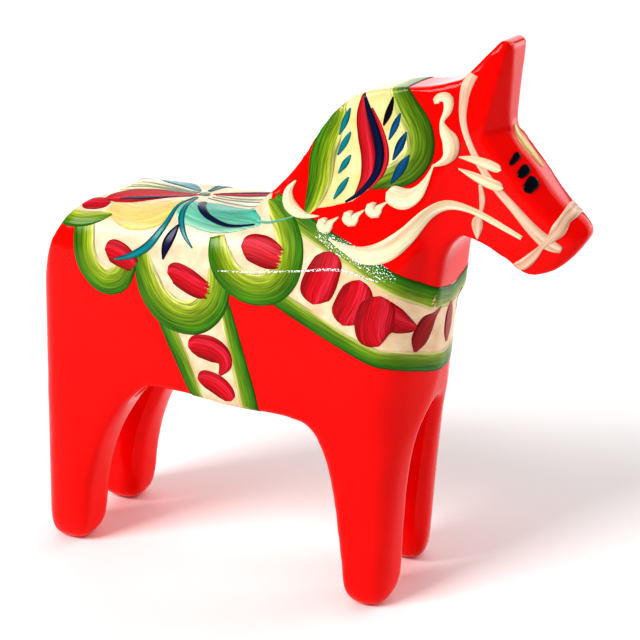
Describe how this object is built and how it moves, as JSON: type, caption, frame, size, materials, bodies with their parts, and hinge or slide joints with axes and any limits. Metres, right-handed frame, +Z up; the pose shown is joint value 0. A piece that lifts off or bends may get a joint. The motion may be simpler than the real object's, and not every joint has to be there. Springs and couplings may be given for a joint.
{
  "type": "painted wooden horse figure",
  "caption": "Standing carved wooden folk-art horse with a painted saddle, girth, breast strap, mane panel and bridle, as a free-standing ornament.",
  "frame": {"origin": "on the surface that the horse stands on, under the centre of its bounding box", "axes": "+X the way the horse faces, +Y its left side, +Z up"},
  "size_m": [0.1303, 0.0376, 0.13],
  "materials": {
    "red_enamel": "carved pine dipped in gloss red paint and varnished",
    "cream_paint": "brushed cream oil paint under gloss varnish",
    "green_paint": "green oil paint blended wet into cream, under gloss varnish",
    "petal_red_paint": "crimson oil paint with brush streaks, under gloss varnish",
    "turquoise_paint": "turquoise oil paint blended into cream, under gloss varnish",
    "teal_paint": "teal oil paint, under gloss varnish",
    "navy_paint": "navy oil paint, under gloss varnish"
  },
  "bodies": {
    "root": {"breast_edge_low": "green_paint", "breast_edge_top": "green_paint", "breast_ground": "cream_paint", "breast_petal_1_left": "petal_red_paint", "breast_petal_1_right": "petal_red_paint", "breast_petal_2_left": "petal_red_paint", "breast_petal_2_right": "petal_red_paint", "breast_petal_3_left": "petal_red_paint", "breast_petal_3_right": "petal_red_paint", "carved_body": "red_enamel", "cheek_strap_left": "cream_paint", "cheek_strap_right": "cream_paint", "collar_stroke_left": "cream_paint", "collar_stroke_right": "cream_paint", "crest_flourish_left": "cream_paint", "crest_flourish_right": "cream_paint", "eye_left": "navy_paint", "eye_right": "navy_paint", "flower_red_front": "petal_red_paint", "flower_red_rear": "petal_red_paint", "flower_turquoise_front": "turquoise_paint", "flower_turquoise_rear": "teal_paint", "forehead_stroke": "cream_paint", "front_petal_left": "petal_red_paint", "front_petal_right": "petal_red_paint", "front_scallop_left": "green_paint", "front_scallop_right": "green_paint", "girth_edge_front": "green_paint", "girth_edge_rear": "green_paint", "girth_ground": "cream_paint", "girth_lower_petal_left": "petal_red_paint", "girth_lower_petal_right": "petal_red_paint", "girth_upper_petal_left": "petal_red_paint", "girth_upper_petal_right": "petal_red_paint", "mane_edge_front": "green_paint", "mane_edge_rear": "green_paint", "mane_ground": "cream_paint", "mane_stroke_left": "petal_red_paint", "mane_stroke_right": "petal_red_paint", "middle_petal_left": "petal_red_paint", "middle_petal_right": "petal_red_paint", "middle_scallop_left": "green_paint", "middle_scallop_right": "green_paint", "noseband": "cream_paint", "rear_petal_left": "petal_red_paint", "rear_petal_right": "petal_red_paint", "rear_scallop_left": "green_paint", "rear_scallop_right": "green_paint", "rump_petal_left": "petal_red_paint", "rump_petal_right": "petal_red_paint", "rump_scallop_left": "green_paint", "rump_scallop_right": "green_paint", "saddle_ground": "cream_paint", "withers_comma_left": "cream_paint", "withers_comma_right": "cream_paint"}
  },
  "joints": []
}
